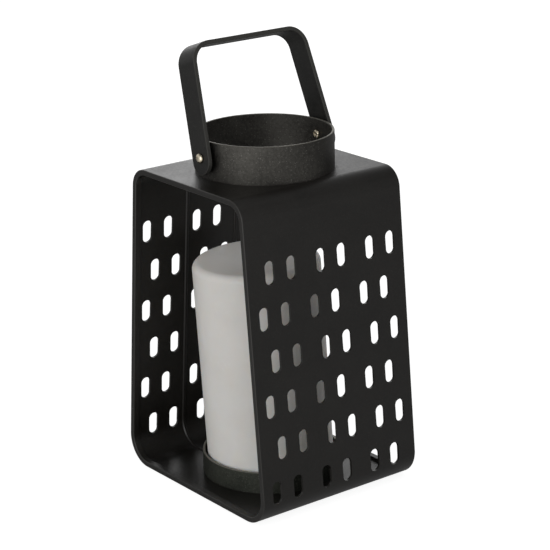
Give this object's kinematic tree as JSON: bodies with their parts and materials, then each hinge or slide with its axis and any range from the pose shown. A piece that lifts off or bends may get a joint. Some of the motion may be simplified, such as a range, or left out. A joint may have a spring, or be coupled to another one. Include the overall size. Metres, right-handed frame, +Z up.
{
  "type": "outdoor lantern",
  "caption": "Slotted sheet-metal lantern, open front and rear, with a round collar, a swinging strap handle and a battery candle standing in a ring.",
  "frame": {"origin": "centre of the underside that the lantern stands on", "axes": "+Z up, -Y out of the open front, +X to the right-hand slotted wall seen from the front; the handle pivots about a line along Y"},
  "size_m": [0.1328, 0.1124, 0.2626],
  "materials": {
    "shell_coat": "black satin powder coat",
    "collar_coat": "dark grey fine-textured powder coat with a faint sparkle",
    "ring_coat": "dark grey fine-textured powder coat with a faint sparkle",
    "handle_coat": "black satin powder coat",
    "rivet_metal": "pale nickelled brass, bright",
    "spacer_metal": "blackened",
    "wax": "ivory wax, soft satin",
    "wick_cotton": "charred braided cotton",
    "unit_plastic": "ivory moulded plastic",
    "contact_nickel": "nickel-plated spring steel",
    "cell_jacket": "plain blue foil jacket",
    "board_green": "solder mask over glass-fibre board",
    "led_amber": "tinted clear epoxy",
    "switch_black": "black moulded plastic"
  },
  "bodies": {
    "lantern_body": {"body_shell": "shell_coat", "collar": "collar_coat", "candle_ring": "ring_coat", "handle_rivet_rear": "rivet_metal", "handle_spacer_rear": "spacer_metal", "handle_rivet_front": "rivet_metal", "handle_spacer_front": "spacer_metal"},
    "handle": {"handle": "handle_coat"},
    "candle": {"candle_wax": "wax", "candle_wick": "wick_cotton", "light_unit_housing": "unit_plastic", "battery_nub_up": "cell_jacket", "battery_nub_down": "cell_jacket", "top_contact_plate": "contact_nickel", "top_contact_spring": "contact_nickel", "circuit_board": "board_green", "board_screw_front": "contact_nickel", "board_screw_rear": "contact_nickel", "led": "led_amber", "switch_body": "switch_black"},
    "battery_door": {"battery_door": "unit_plastic", "door_contact": "contact_nickel", "door_contact_spring": "contact_nickel"},
    "switch_knob": {"switch_knob": "switch_black"}
  },
  "joints": [
    {"name": "handle_swing", "type": "hinge", "parent": "lantern_body", "child": "handle", "pos_m": [0, 0, 0.2], "axis": [0, 1, 0], "range_deg": [-77, 115]},
    {"name": "candle_lift", "type": "slide", "parent": "lantern_body", "child": "candle", "axis": [-0.0268, -0.0437, 0.9987], "range_m": [0, 0.04]},
    {"name": "door_turn", "type": "hinge", "parent": "candle", "child": "battery_door", "pos_m": [0.00013, 0.00021, 0.00367], "axis": [-0.0268, -0.0437, 0.9987], "range_deg": [0, 20]},
    {"name": "switch_slide", "type": "slide", "parent": "candle", "child": "switch_knob", "axis": [-0.0006, 0.999, 0.0437], "range_m": [0, 0.004]}
  ]
}
